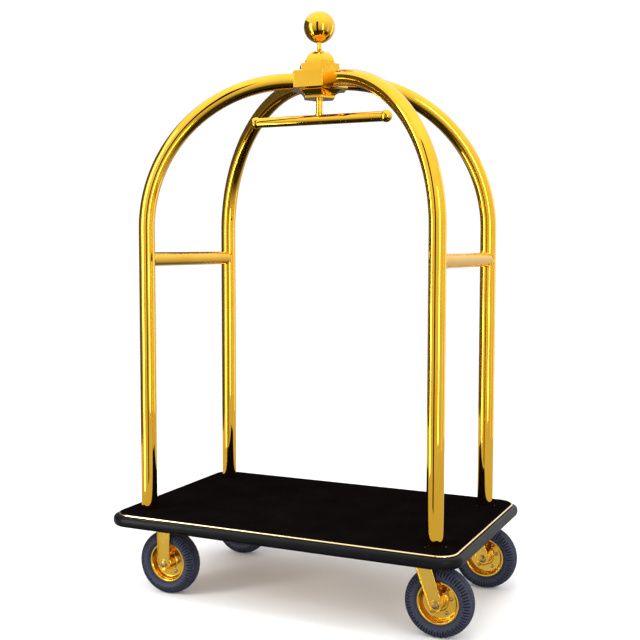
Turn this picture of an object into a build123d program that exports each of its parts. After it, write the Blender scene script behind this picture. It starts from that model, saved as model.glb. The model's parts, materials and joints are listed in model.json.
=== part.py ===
from build123d import *
from math import cos, hypot, radians, sin, sqrt
import os

# Hotel luggage cart: a carpeted deck on four 206 mm wheels, with four bent tubes that rise
# from the deck's corners and meet in a six-sided crown, which carries a hanging rail.
# X runs along the cart, Y across it and Z up. Millimetres throughout.

# ---------------------------------------------------------------- deck
deck_length = 1138.0
deck_width = 708.0
deck_corner_r = 55.0
board_t = 18.0
carpet_t = 6.0
carpet_edge_r = 3.0
trim_w = 6.0
bumper_out = 16.0
bumper_h = 33.0
bumper_crown_drop = 15.0
bumper_flat_w = 12.0
edge_rail_t = 3.0
frame_tube_w = 40.0
frame_tube_h = 20.0
frame_tube_wall = 2.0
frame_cross_x = (-180.0, 180.0)
pad_t = 6.0
pad_l = 160.0
pad_w = 115.0

# ---------------------------------------------------------------- bent tubes and crossbars
tube_d = 50.8
tube_wall = 1.8
post_inset_x = 82.5
post_inset_y = 93.0
crown_z = 1648.7
level_run = 25.09
socket_web = 4.5643
crossbar_d = 44.5
crossbar_wall = 1.5
crossbar_drop = 95.7

# ---------------------------------------------------------------- what holds the posts
plug_h = 25.0
stud_r = 6.0
stud_nut_hex = 19.0
stud_nut_h = 8.0
washer_r = 12.0
washer_t = 2.5
pocket_depth = 11.0
pocket_slack = 1.0
screw_gap = 4.6
screw_first_angle = -125.0
screw_count = 3
screw_r = 2.5
screw_head_r = 4.0
screw_head_h = 5.0
screw_head_round = 1.5
screw_len = 16.0

# ---------------------------------------------------------------- crown, finial and hanging rail
crown_corner_r = 99.5
crown_skin = 0.6
crown_shoulder = 3.0
cove_h = 29.0
cove_corner_r = 53.7
step_corner_r = 70.8
step_h = 24.0
step_draft = 1.3
dome_corner_r = 53.0
dome_h = 40.0
collar_r = 17.0
collar_h = 9.0
collar_lip_h = 2.0
neck_r = 6.6
ball_r = 49.8
neck_rise = 29.1
stem_d = 21.0
stem_wall = 3.0
stem_socket = 12.0
hanger_rail_d = 32.0
hanger_rail_wall = 1.5
hanger_rail_half = 229.4
hanger_drop = 64.4
end_ball_step = 3.0
end_plug_l = 18.0
insert_half_l = 20.0
tie_rod_r = 5.0
tie_rod_grip = 20.0

# ---------------------------------------------------------------- wheels
wheel_r = 103.0
tyre_half_w = 32.0
tyre_wall = 6.0
tread_half_w = 25.0
tyre_shoulder_drop = 6.0
rim_r = 57.0
rim_lip_h = 7.0
rim_half_w = 19.5
rim_sheet = 2.0
rim_bolt_inset = 19.0
rim_bolt_count = 5
rim_bolt_r = 3.0
rim_bolt_hex = 10.0
rim_bolt_head_h = 4.0
hub_r = 20.0
hub_half_w = 29.0
hub_flange_gap = 9.0
hub_flange_t = 3.0
bearing_r = 16.0
bearing_w = 10.0

# ---------------------------------------------------------------- casters
caster_inset_y = 111.0
rigid_inset_x = 149.0
swivel_inset_x = 114.0
trail = 42.0
axle_r = 6.0
axle_hex = 19.0
axle_head_h = 7.0
axle_nut_h = 10.0
thread_end = 2.0
tyre_side_gap = 3.0
leg_t = 3.5
leg_top_w = 50.0
leg_end_r = 21.0
leg_flange_w = 3.0
leg_flange_h = 4.0
plate_t = 4.0
plate_l = 105.0
plate_corner_r = 8.0
plate_bolt_edge = 12.5
plate_bolt_r = 4.0
plate_bolt_hex = 13.0
plate_bolt_head_h = 5.0
tyre_top_gap = 16.0
fork_plate_t = 4.7
fork_plate_r = 42.0
race_r = 30.0
race_ball_r = 4.0
race_ball_count = 14
race_ring_w = 8.0
race_ring_h = 2.7
skirt_t = 2.5
skirt_gap = 1.0
kingpin_r = 7.0
kingpin_head_r = 12.0
kingpin_head_h = 6.0

# ---------------------------------------------------------------- clearances
slip = 0.1
weld_gap = 0.1
running = 0.05
end_play = 0.4
body_gap = 0.3

# ---------------------------------------------------------------- levels and places that follow
# The wheels set the deck's height: each level stands on the one below it.
fork_plate_z = 2 * wheel_r + tyre_top_gap
race_ball_z = fork_plate_z + fork_plate_t + body_gap + race_ball_r
race_bottom_z = race_ball_z + race_ball_r + body_gap
plate_bottom_z = race_bottom_z + race_ring_h
pad_bottom_z = plate_bottom_z + plate_t
board_bottom_z = pad_bottom_z + pad_t
board_top_z = board_bottom_z + board_t
bumper_top_z = board_top_z - trim_w / 2
bumper_bottom_z = bumper_top_z - bumper_h
edge_rail_n = -trim_w - edge_rail_t
frame_bottom_z = board_bottom_z - frame_tube_h
tube_r = tube_d / 2
tube_in_r = tube_r - tube_wall
post_half_x = deck_length / 2 - post_inset_x
post_half_y = deck_width / 2 - post_inset_y
post_reach = hypot(post_half_x, post_half_y)
screw_circle_r = tube_r + screw_gap + screw_head_r
# The tubes stop in the crown where a web is left between each post's socket and the next.
tube_end_reach = (tube_r * post_half_x + socket_web * post_reach) / post_half_y
bend_r = post_reach - tube_end_reach - level_run
crossbar_z = crown_z - bend_r - crossbar_drop
crown_block_h = tube_d + 2 * crown_skin
wheel_z = wheel_r
rim_lip_r = rim_r + rim_lip_h
rim_bolt_circle_r = rim_r - rim_bolt_inset
hub_flange_r = rim_r - rim_sheet - hub_flange_gap
leg_gap_half = tyre_half_w + tyre_side_gap
plate_w = 2 * (leg_gap_half + leg_t + leg_flange_h)
bolt_pitch_x = plate_l - 2 * plate_bolt_edge
bolt_pitch_y = plate_w - 2 * plate_bolt_edge
caster_y = deck_width / 2 - caster_inset_y
rigid_x = rigid_inset_x - deck_length / 2
swivel_x = deck_length / 2 - swivel_inset_x
swivel_wheel_x = swivel_x + trail
flat = cos(radians(30))
corner_signs = {
    "front_left": (-1, -1),
    "front_right": (1, -1),
    "back_left": (-1, 1),
    "back_right": (1, 1),
}
post_points = [(sx * post_half_x, sy * post_half_y) for sx, sy in corner_signs.values()]
screw_points = [
    (x + screw_circle_r * cos(radians(screw_first_angle + 360 / screw_count * k)),
     y + screw_circle_r * sin(radians(screw_first_angle + 360 / screw_count * k)))
    for x, y in post_points for k in range(screw_count)
]
caster_points = [(x, sy * caster_y) for x in (rigid_x, swivel_x) for sy in (-1, 1)]
plate_bolt_points = [
    (x + sx * bolt_pitch_x / 2, y + sy * bolt_pitch_y / 2)
    for x, y in caster_points for sx, sy in corner_signs.values()
]

# The origin is on the floor under the middle of the cart's own outline, whose right end is
# whichever reaches further, the bumper or the trailing wheels.
bumper_end_x = deck_length / 2 + bumper_out
origin_x = (max(bumper_end_x, swivel_wheel_x + wheel_r) - bumper_end_x) / 2

os.makedirs("parts", exist_ok=True)


def keep(piece, name):
    """Label a finished piece and write it, measured from the cart's origin."""
    piece.part.label = name
    export_step(piece.part.moved(Location((-origin_x, 0, 0))), f"parts/{name}.step")


def deck_outline(n, mode=Mode.ADD):
    """Draw the deck's outline, n outside the outer edge of the brass trim."""
    RectangleRounded(deck_length + 2 * n, deck_width + 2 * n, deck_corner_r + n, mode=mode)


def edge_path(z):
    """The closed path round the deck's edge at height z, from the middle of its right end."""
    half_x = deck_length / 2
    half_run = deck_width / 2 - deck_corner_r
    long_run = deck_length - 2 * deck_corner_r
    with BuildLine(Plane.XY.offset(z)) as path:
        side = Line((half_x, 0), (half_x, half_run))
        for run in (long_run, 2 * half_run, long_run, half_run):
            corner = JernArc(side @ 1, side % 1, deck_corner_r, 90)
            side = Line(corner @ 1, corner @ 1 + (corner % 1) * run)
    return path.wire()


def bored(points, radius, z, depth):
    """Cut holes of one radius at the points, from height z upwards."""
    with BuildSketch(Plane.XY.offset(z)) as holes:
        with Locations(*points):
            Circle(radius)
    extrude(holes.sketch, amount=depth, mode=Mode.SUBTRACT)


# ================================================================ deck
with BuildPart() as deck_board:
    with BuildSketch(Plane.XY.offset(board_bottom_z)):
        deck_outline(edge_rail_n)
    extrude(amount=board_t)
    bored(post_points, stud_r + slip, board_bottom_z, board_t)
    bored(post_points, washer_r + pocket_slack, board_bottom_z, pocket_depth)
    bored(screw_points, screw_r + slip, board_top_z - screw_len, screw_len)
keep(deck_board, "deck_board")

with BuildPart() as carpet:
    with BuildSketch(Plane.XY.offset(board_top_z)):
        deck_outline(-trim_w - slip)
    extrude(amount=carpet_t)
    fillet(carpet.faces().sort_by(Axis.Z)[-1].edges(), carpet_edge_r)
    bored(post_points, tube_r + slip, board_top_z, carpet_t)
    bored(screw_points, screw_head_r + slip, board_top_z, carpet_t)
keep(carpet, "carpet")

# A flat steel band carries the bumper round the board's edge.
with BuildPart() as edge_rail:
    with BuildSketch(Plane.XY.offset(bumper_bottom_z)):
        deck_outline(-trim_w)
        deck_outline(edge_rail_n, Mode.SUBTRACT)
    extrude(amount=bumper_h)
keep(edge_rail, "edge_rail")

# The trim is a rounded bead with a flat tail that sits on the steel band.
with BuildPart() as edge_trim:
    with BuildSketch(Plane.XZ):
        with Locations((deck_length / 2 - trim_w / 2, board_top_z)):
            Circle(trim_w / 2)
        with Locations((deck_length / 2 + edge_rail_n, bumper_top_z)):
            Rectangle(trim_w, trim_w / 2, align=(Align.MIN, Align.MIN))
    sweep(path=edge_path(board_top_z))
keep(edge_trim, "edge_trim")

# The bumper's outer face is one tall arc between a narrow flat top and a flat foot.
with BuildPart() as bumper:
    inner_x = deck_length / 2 - trim_w
    foot_x = deck_length / 2 + bumper_out - bumper_flat_w
    with BuildSketch(Plane.XZ):
        with BuildLine():
            back = Line((inner_x, bumper_top_z), (inner_x, bumper_bottom_z))
            foot = Line(back @ 1, (foot_x, bumper_bottom_z))
            face = ThreePointArc(
                foot @ 1,
                (deck_length / 2 + bumper_out, bumper_top_z - bumper_crown_drop),
                (foot_x, bumper_top_z))
            Line(face @ 1, back @ 0)
        make_face()
    sweep(path=edge_path(bumper_top_z))
keep(bumper, "bumper")


def frame_tube(centre_x, centre_y, length_x, length_y):
    """A rectangular steel tube under the board, trimmed to the round of the deck's corners."""
    for skin, mode in ((0, Mode.ADD), (frame_tube_wall, Mode.SUBTRACT)):
        with BuildSketch(Plane.XY.offset(frame_bottom_z + skin)) as section:
            with Locations((centre_x, centre_y)):
                Rectangle(length_x - 2 * skin, length_y - 2 * skin)
            deck_outline(edge_rail_n - slip - skin, Mode.INTERSECT)
        extrude(section.sketch, amount=frame_tube_h - 2 * skin, mode=mode)


end_rail_x = deck_length / 2 + edge_rail_n - frame_tube_w / 2
long_rail_y = deck_width / 2 + edge_rail_n - frame_tube_w / 2
long_rail_l = deck_length + 2 * edge_rail_n - 2 * frame_tube_w
rail_inner_y = long_rail_y - frame_tube_w / 2
with BuildPart() as frame_long_rails:
    for side in (-1, 1):
        frame_tube(0, side * long_rail_y, long_rail_l, frame_tube_w)
keep(frame_long_rails, "frame_long_rails")

with BuildPart() as frame_end_rails:
    for side in (-1, 1):
        frame_tube(side * end_rail_x, 0, frame_tube_w, deck_width)
keep(frame_end_rails, "frame_end_rails")

with BuildPart() as frame_cross_rails:
    for x in frame_cross_x:
        frame_tube(x, 0, frame_tube_w, 2 * rail_inner_y)
keep(frame_cross_rails, "frame_cross_rails")

# Steel pads under the board spread the load of the casters and the posts.
with BuildPart() as corner_pads:
    with BuildSketch(Plane.XY.offset(pad_bottom_z)):
        for sx, sy in corner_signs.values():
            with Locations((sx * (long_rail_l - pad_l) / 2, sy * (rail_inner_y - pad_w / 2))):
                Rectangle(pad_l, pad_w)
    extrude(amount=pad_t)
    bored(plate_bolt_points, plate_bolt_r + slip, pad_bottom_z, pad_t)
keep(corner_pads, "corner_pads")

# ================================================================ posts and crossbars
for name, (sx, sy) in corner_signs.items():
    outward = Vector(sx * post_half_x, sy * post_half_y, 0).normalized()
    post_plane = Plane(origin=(0, 0, 0), x_dir=outward, z_dir=outward.cross(Vector(0, 0, 1)))
    with BuildPart() as post:
        with BuildLine(post_plane) as tube_line:
            upright = Line((post_reach, board_top_z), (post_reach, crown_z - bend_r))
            JernArc(upright @ 1, (0, 1), bend_r, 90)
            Line((post_reach - bend_r, crown_z), (tube_end_reach, crown_z))
        with BuildSketch(Plane.XY.offset(board_top_z)):
            with Locations((sx * post_half_x, sy * post_half_y)):
                Circle(tube_r)
                Circle(tube_in_r, mode=Mode.SUBTRACT)
        sweep(path=tube_line.wire())
    keep(post, f"post_{name}")

# Each crossbar is coped at both ends to fit round its two posts, and welded.
for name, sx in (("left", -1), ("right", 1)):
    with BuildPart() as crossbar:
        with BuildSketch(Plane(origin=(sx * post_half_x, -post_half_y, crossbar_z), z_dir=(0, 1, 0))):
            Circle(crossbar_d / 2)
            Circle(crossbar_d / 2 - crossbar_wall, mode=Mode.SUBTRACT)
        extrude(amount=2 * post_half_y)
        bored([(sx * post_half_x, sy * post_half_y) for sy in (-1, 1)],
              tube_r + weld_gap, crossbar_z - crossbar_d, 2 * crossbar_d)
    keep(crossbar, f"crossbar_{name}")

# A plug in each post's foot has a stud that passes through the board to a nut.
washer_bottom_z = board_bottom_z + pocket_depth - washer_t
nut_bottom_z = washer_bottom_z - stud_nut_h
with BuildPart() as post_plugs:
    with BuildSketch(Plane.XY.offset(board_top_z)):
        with Locations(*post_points):
            Circle(tube_in_r - slip)
    extrude(amount=plug_h)
    with BuildSketch(Plane.XY.offset(nut_bottom_z)):
        with Locations(*post_points):
            Circle(stud_r)
    extrude(amount=board_top_z - nut_bottom_z)
keep(post_plugs, "post_plugs")

with BuildPart() as post_nuts:
    for x, y in post_points:
        with BuildSketch(Plane((x, y, nut_bottom_z))):
            RegularPolygon(stud_nut_hex / 2, 6, major_radius=False)
            Circle(stud_r + running, mode=Mode.SUBTRACT)
        extrude(amount=stud_nut_h)
        with BuildSketch(Plane((x, y, washer_bottom_z + running))):
            Circle(washer_r)
            Circle(stud_r + slip, mode=Mode.SUBTRACT)
        extrude(amount=washer_t - running)
keep(post_nuts, "post_nuts")

# The screws sit on the board in holes through the carpet, just below its top.
with BuildPart() as deck_screws:
    with BuildSketch(Plane.XY.offset(board_top_z)):
        with Locations(*screw_points):
            Circle(screw_head_r)
    extrude(amount=screw_head_h)
    fillet(deck_screws.faces().group_by(Axis.Z)[-1].edges(), screw_head_round)
    with BuildSketch(Plane.XY.offset(board_top_z)):
        with Locations(*screw_points):
            Circle(screw_r)
    extrude(amount=-screw_len)
keep(deck_screws, "deck_screws")

# ================================================================ crown
hub_bottom_z = crown_z - crown_block_h / 2 - cove_h
block_bottom_z = crown_z - crown_block_h / 2
block_top_z = crown_z + crown_block_h / 2
hub_top_z = block_top_z + crown_shoulder
step_top_z = hub_top_z + step_h
dome_top_z = step_top_z + dome_h
ball_z = dome_top_z + neck_rise + ball_r
rod_top_z = ball_z - ball_r + tie_rod_grip


def six_sided(profile):
    """Build a six-sided moulding with flat faces at 30, 90 and 150 degrees.

    profile draws the right half of the section through two opposite faces.
    """
    for k in range(3):
        normal = Vector(1, 0, 0).rotate(Axis.Z, 30 + 60 * k)
        upright = Plane(origin=(0, 0, 0), x_dir=normal, z_dir=normal.cross(Vector(0, 0, 1)))
        with BuildSketch(upright) as section:
            with BuildLine():
                profile()
                mirror(about=Plane.YZ)
            make_face()
        extrude(section.sketch, amount=2 * crown_corner_r, both=True,
                mode=Mode.INTERSECT if k else Mode.ADD)


def hub_profile():
    """Foot, hollow cove, upright block and sloping shoulder."""
    block_w = crown_corner_r * flat
    foot_w = cove_corner_r * flat
    foot = Line((0, hub_bottom_z), (foot_w, hub_bottom_z))
    cove = ThreePointArc(
        foot @ 1,
        (block_w - (block_w - foot_w) * cos(radians(45)), hub_bottom_z + cove_h * sin(radians(45))),
        (block_w, block_bottom_z))
    side = Line(cove @ 1, (block_w, block_top_z))
    shoulder = Line(side @ 1, (block_w - 2 * crown_shoulder, hub_top_z))
    Line(shoulder @ 1, (0, hub_top_z))


def cap_profile():
    """Drafted step with a rounded dome on it."""
    step_w = step_corner_r * flat
    dome_w = dome_corner_r * flat
    top_w = collar_r * flat
    foot = Line((0, hub_top_z), (step_w, hub_top_z))
    side = Line(foot @ 1, (step_w - step_draft, step_top_z))
    ledge = Line(side @ 1, (dome_w, step_top_z))
    dome = ThreePointArc(
        ledge @ 1,
        (top_w + (dome_w - top_w) * cos(radians(45)), step_top_z + dome_h * sin(radians(45))),
        (top_w, dome_top_z))
    Line(dome @ 1, (0, dome_top_z))


with BuildPart() as crown_hub:
    six_sided(hub_profile)
    for sx, sy in corner_signs.values():
        outward = Vector(sx * post_half_x, sy * post_half_y, 0).normalized()
        with BuildSketch(Plane(origin=outward * tube_end_reach + Vector(0, 0, crown_z), z_dir=outward)):
            Circle(tube_r + slip)
        extrude(amount=crown_corner_r, mode=Mode.SUBTRACT)
    bored([(0, 0)], tie_rod_r + slip, hub_bottom_z, hub_top_z - hub_bottom_z)
    bored([(0, 0)], stem_d / 2 + slip, hub_bottom_z, stem_socket)
keep(crown_hub, "crown_hub")

with BuildPart() as crown_cap:
    six_sided(cap_profile)
    bored([(0, 0)], tie_rod_r + slip, hub_top_z, dome_top_z - hub_top_z)
keep(crown_cap, "crown_cap")

with BuildPart() as finial:
    with BuildSketch(Plane.XZ):
        with BuildLine():
            collar_foot = Line((0, dome_top_z), (collar_r - slip, dome_top_z))
            collar_side = Line(collar_foot @ 1, (collar_r - slip, dome_top_z + collar_lip_h))
            flare = Spline(
                collar_side @ 1,
                (neck_r, dome_top_z + collar_h),
                tangents=((-1, 0), (0, 1)))
            neck = Line(flare @ 1, (neck_r, ball_z - sqrt(ball_r ** 2 - neck_r ** 2)))
            ball = ThreePointArc(neck @ 1, (ball_r, ball_z), (0, ball_z + ball_r))
            Line(ball @ 1, collar_foot @ 0)
        make_face()
    revolve(axis=Axis.Z)
    bored([(0, 0)], tie_rod_r + slip, dome_top_z, rod_top_z - dome_top_z)
keep(finial, "finial")

# ================================================================ hanging rail
# One long rod runs down from the finial through the cap, the hub and the hollow stem,
# and screws into an insert inside the rail, so that it draws them all together.
rail_r = hanger_rail_d / 2
rail_plug_r = rail_r - hanger_rail_wall - slip
end_ball_r = rail_r + end_ball_step
hanger_rail_z = hub_bottom_z - hanger_drop
ball_flat_x = hanger_rail_half - sqrt(end_ball_r ** 2 - rail_r ** 2)

with BuildPart() as tie_rod:
    with BuildSketch(Plane.XY.offset(hanger_rail_z - rail_plug_r / 2)):
        Circle(tie_rod_r)
    extrude(amount=rod_top_z - hanger_rail_z + rail_plug_r / 2)
keep(tie_rod, "tie_rod")

with BuildPart() as hanger_stem:
    with BuildSketch(Plane.XY.offset(hanger_rail_z)):
        Circle(stem_d / 2)
        Circle(stem_d / 2 - stem_wall, mode=Mode.SUBTRACT)
    extrude(amount=hub_bottom_z + stem_socket - hanger_rail_z)
    with BuildSketch(Plane.YZ):
        with Locations((0, hanger_rail_z)):
            Circle(rail_r + weld_gap)
    extrude(amount=stem_d, both=True, mode=Mode.SUBTRACT)
keep(hanger_stem, "hanger_stem")

with BuildPart() as hanger_rail:
    with BuildSketch(Plane.YZ):
        with Locations((0, hanger_rail_z)):
            Circle(rail_r)
            Circle(rail_r - hanger_rail_wall, mode=Mode.SUBTRACT)
    extrude(amount=ball_flat_x, both=True)
    bored([(0, 0)], tie_rod_r + slip, hanger_rail_z, hanger_rail_d)
keep(hanger_rail, "hanger_rail")

with BuildPart() as rail_insert:
    with BuildSketch(Plane.YZ):
        with Locations((0, hanger_rail_z)):
            Circle(rail_plug_r)
    extrude(amount=insert_half_l, both=True)
    bored([(0, 0)], tie_rod_r + slip, hanger_rail_z - rail_plug_r / 2, hanger_rail_d)
keep(rail_insert, "rail_insert")

with BuildPart() as rail_end_balls:
    for side in (-1, 1):
        with BuildSketch(Plane.XZ):
            with BuildLine():
                plug_end = side * (ball_flat_x - end_plug_l)
                axis_line = Line((side * (hanger_rail_half + end_ball_r), hanger_rail_z),
                                 (plug_end, hanger_rail_z))
                plug_face = Line(axis_line @ 1, (plug_end, hanger_rail_z + rail_plug_r))
                plug_side = Line(plug_face @ 1, (side * ball_flat_x, hanger_rail_z + rail_plug_r))
                flat_face = Line(plug_side @ 1, (side * ball_flat_x, hanger_rail_z + rail_r))
                ThreePointArc(flat_face @ 1, (side * hanger_rail_half, hanger_rail_z + end_ball_r),
                              axis_line @ 0)
            make_face()
        revolve(axis=Axis((0, 0, hanger_rail_z), (1, 0, 0)))
keep(rail_end_balls, "rail_end_balls")


# ================================================================ wheels
def turned(centre):
    """The plane whose X is the radius and Y the axle of a wheel at centre."""
    return Plane(origin=centre, x_dir=(1, 0, 0), z_dir=(0, 0, 1))


def spin_axis(centre):
    return Axis(centre, (0, 1, 0))


def across(centre, y):
    """A plane square to the axle, y along it from the wheel's middle, facing +Y."""
    return Plane(origin=(centre[0], centre[1] + y, centre[2]), x_dir=(-1, 0, 0), z_dir=(0, 1, 0))


def tyre_section(inset):
    """Half the tyre's section, lip to crown, moved in by inset."""
    bead_w = rim_half_w - rim_sheet - slip - inset
    bulge = ((rim_lip_r + wheel_r) / 2, tyre_half_w - inset)
    shoulder = (wheel_r - tyre_shoulder_drop - inset, tread_half_w - inset)
    seat = Line((rim_r + slip, bead_w), (rim_lip_r + 1, bead_w))
    TangentArc(bulge, seat @ 1, tangent=(-1, 0))
    TangentArc(bulge, shoulder, tangent=(1, 0))
    ThreePointArc(shoulder, (wheel_r - inset, 0), (shoulder[0], -shoulder[1]))
    TangentArc((bulge[0], -bulge[1]), (shoulder[0], -shoulder[1]), tangent=(1, 0))
    TangentArc((bulge[0], -bulge[1]), (rim_lip_r + 1, -bead_w), tangent=(-1, 0))
    Line((rim_lip_r + 1, -bead_w), (rim_r + slip, -bead_w))
    return bead_w


def build_wheel(name, centre):
    """One wheel: tyre, two pressed rim halves, hub with its bearings, and rim bolts."""
    with BuildPart() as tyre:
        with BuildSketch(turned(centre)):
            with BuildLine():
                outer_w = tyre_section(0)
                inner_w = tyre_section(tyre_wall)
                for side in (-1, 1):
                    Line((rim_r + slip, side * outer_w), (rim_r + slip, side * inner_w))
            make_face()
        revolve(axis=spin_axis(centre))
    keep(tyre, f"tyre_{name}")

    bolt_spots = PolarLocations(rim_bolt_circle_r, rim_bolt_count, start_angle=18)
    for half, side in (("outer", -1), ("inner", 1)):
        with BuildPart() as rim:
            with BuildSketch(turned(centre)):
                with BuildLine():
                    Polyline(
                        (hub_r + slip, 0),
                        (rim_r, 0),
                        (rim_r, side * (rim_half_w - rim_sheet)),
                        (rim_lip_r, side * (rim_half_w - rim_sheet)),
                        (rim_lip_r, side * rim_half_w),
                        (rim_r - rim_sheet, side * rim_half_w),
                        (rim_r - rim_sheet, side * rim_sheet),
                        (hub_r + slip, side * rim_sheet),
                        close=True)
                make_face()
            revolve(axis=spin_axis(centre))
            lip_faces = rim.faces().sort_by(Axis.Y)[-1 if side > 0 else 0]
            fillet(lip_faces.edges(), rim_sheet * 0.4)
            with BuildSketch(across(centre, 0)):
                with bolt_spots:
                    Circle(rim_bolt_r + slip)
            extrude(amount=side * rim_sheet, mode=Mode.SUBTRACT)
        keep(rim, f"rim_{half}_{name}")

    with BuildPart() as hub:
        with BuildSketch(across(centre, -hub_half_w)):
            Circle(hub_r)
            Circle(bearing_r, mode=Mode.SUBTRACT)
        extrude(amount=2 * hub_half_w)
        with BuildSketch(across(centre, -hub_half_w + bearing_w)):
            Circle(bearing_r)
            Circle((axle_r + bearing_r) / 2, mode=Mode.SUBTRACT)
        extrude(amount=2 * (hub_half_w - bearing_w))
        with BuildSketch(across(centre, rim_sheet)):
            Circle(hub_flange_r)
            Circle(bearing_r, mode=Mode.SUBTRACT)
            with bolt_spots:
                Circle(rim_bolt_r + slip, mode=Mode.SUBTRACT)
        extrude(amount=hub_flange_t)
        for start in (-hub_half_w, hub_half_w - bearing_w + slip):
            with BuildSketch(across(centre, start)):
                Circle(bearing_r - slip)
                Circle(axle_r + running, mode=Mode.SUBTRACT)
            extrude(amount=bearing_w - slip)
    keep(hub, f"hub_{name}")

    with BuildPart() as rim_bolts:
        grip_end = rim_sheet + hub_flange_t
        with BuildSketch(across(centre, -rim_sheet)):
            with bolt_spots:
                RegularPolygon(rim_bolt_hex / 2, 6, major_radius=False)
        extrude(amount=-rim_bolt_head_h)
        with BuildSketch(across(centre, -rim_sheet)):
            with bolt_spots:
                Circle(rim_bolt_r)
        extrude(amount=rim_sheet + grip_end + rim_bolt_head_h + thread_end)
        with BuildSketch(across(centre, grip_end)):
            with bolt_spots:
                RegularPolygon(rim_bolt_hex / 2, 6, major_radius=False)
                Circle(rim_bolt_r + running, mode=Mode.SUBTRACT)
        extrude(amount=rim_bolt_head_h)
    keep(rim_bolts, f"rim_bolts_{name}")


# ================================================================ casters
def fork_legs(centre, top_x, top_z):
    """Two pressed legs from a fork's top to the axle, each with a turned-out edge."""
    cx, cy, cz = centre
    for side in (-1, 1):
        for skin, inset, height in ((0, 0, leg_t), (leg_t, leg_flange_w, leg_flange_h)):
            face = Plane(origin=(0, cy + side * (leg_gap_half + skin), 0), x_dir=(1, 0, 0), z_dir=(0, -1, 0))
            with BuildSketch(face) as leg:
                with Locations((cx, cz)):
                    Circle(leg_end_r)
                with Locations((top_x, top_z)):
                    Rectangle(leg_top_w, leg_t, align=(Align.CENTER, Align.MAX))
                make_hull()
                if inset:
                    offset(amount=-inset, mode=Mode.SUBTRACT)
            extrude(leg.sketch, amount=-side * height)
    with BuildSketch(across(centre, -plate_w)) as axle_hole:
        Circle(axle_r + slip)
    extrude(axle_hole.sketch, amount=2 * plate_w, mode=Mode.SUBTRACT)


def top_plate(x, y):
    """A bolted steel plate with its four corner holes."""
    with BuildSketch(Plane((x, y, plate_bottom_z))) as plate:
        RectangleRounded(plate_l, plate_w, plate_corner_r)
        with GridLocations(bolt_pitch_x, bolt_pitch_y, 2, 2):
            Circle(plate_bolt_r + slip, mode=Mode.SUBTRACT)
    extrude(plate.sketch, amount=plate_t)


def build_axle(name, centre):
    """An axle bolt through both legs, its nut, and a spacer on each side of the hub."""
    leg_face = leg_gap_half + leg_t
    with BuildPart() as axle:
        with BuildSketch(across(centre, -leg_face)):
            RegularPolygon(axle_hex / 2, 6, major_radius=False)
        extrude(amount=-axle_head_h)
        with BuildSketch(across(centre, -leg_face)):
            Circle(axle_r)
        extrude(amount=2 * leg_face + axle_nut_h + thread_end)
        with BuildSketch(across(centre, leg_face)):
            RegularPolygon(axle_hex / 2, 6, major_radius=False)
            Circle(axle_r + running, mode=Mode.SUBTRACT)
        extrude(amount=axle_nut_h)
        for side in (-1, 1):
            with BuildSketch(across(centre, side * (hub_half_w + end_play))):
                Circle((axle_r + bearing_r) / 2)
                Circle(axle_r + running, mode=Mode.SUBTRACT)
            extrude(amount=side * (leg_gap_half - hub_half_w - end_play))
    keep(axle, f"axle_{name}")


for place, sy in (("front", -1), ("back", 1)):
    y = sy * caster_y

    rigid_centre = (rigid_x, y, wheel_z)
    with BuildPart() as rigid_fork:
        top_plate(rigid_x, y)
        fork_legs(rigid_centre, rigid_x, plate_bottom_z)
    keep(rigid_fork, f"rigid_fork_{place}")
    build_axle(f"{place}_left", rigid_centre)
    build_wheel(f"{place}_left", rigid_centre)

    # The swivel plate carries the upper ball track and a skirt that keeps dirt out of it.
    with BuildPart() as swivel_plate:
        top_plate(swivel_x, y)
        for inner_r, outer_r, bottom_z in (
                (race_r - race_ring_w / 2, race_r + race_ring_w / 2, race_bottom_z),
                (fork_plate_r - skirt_t, fork_plate_r, fork_plate_z + fork_plate_t + skirt_gap)):
            with BuildSketch(Plane((swivel_x, y, bottom_z))):
                Circle(outer_r)
                Circle(inner_r, mode=Mode.SUBTRACT)
            extrude(amount=plate_bottom_z - bottom_z)
        bored([(swivel_x, y)], kingpin_r + slip, plate_bottom_z, plate_t)
    keep(swivel_plate, f"swivel_plate_{place}")

    swivel_centre = (swivel_wheel_x, y, wheel_z)
    with BuildPart() as swivel_fork:
        with BuildSketch(Plane((swivel_x, y, fork_plate_z))):
            Circle(fork_plate_r)
            Rectangle(leg_top_w, 2 * (leg_gap_half + leg_t + leg_flange_h))
        extrude(amount=fork_plate_t)
        fork_legs(swivel_centre, swivel_x, fork_plate_z)
        bored([(swivel_x, y)], kingpin_r + running, fork_plate_z, fork_plate_t)
    keep(swivel_fork, f"swivel_fork_{place}")

    with BuildPart() as swivel_balls:
        with Locations((swivel_x, y, race_ball_z)):
            with PolarLocations(race_r, race_ball_count):
                Sphere(race_ball_r)
    keep(swivel_balls, f"swivel_balls_{place}")
    build_axle(f"{place}_right", swivel_centre)
    build_wheel(f"{place}_right", swivel_centre)

with BuildPart() as kingpins:
    for sy in (-1, 1):
        head_top_z = fork_plate_z - body_gap
        with BuildSketch(Plane((swivel_x, sy * caster_y, head_top_z))):
            Circle(kingpin_head_r)
        extrude(amount=-kingpin_head_h)
        with BuildSketch(Plane((swivel_x, sy * caster_y, head_top_z))):
            Circle(kingpin_r)
        extrude(amount=pad_bottom_z - head_top_z)
keep(kingpins, "kingpins")

with BuildPart() as caster_bolts:
    with BuildSketch(Plane.XY.offset(plate_bottom_z)):
        with Locations(*plate_bolt_points):
            RegularPolygon(plate_bolt_hex / 2, 6, major_radius=False)
    extrude(amount=-plate_bolt_head_h)
    with BuildSketch(Plane.XY.offset(plate_bottom_z)):
        with Locations(*plate_bolt_points):
            Circle(plate_bolt_r)
    extrude(amount=board_bottom_z - plate_bottom_z)
keep(caster_bolts, "caster_bolts")
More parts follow.
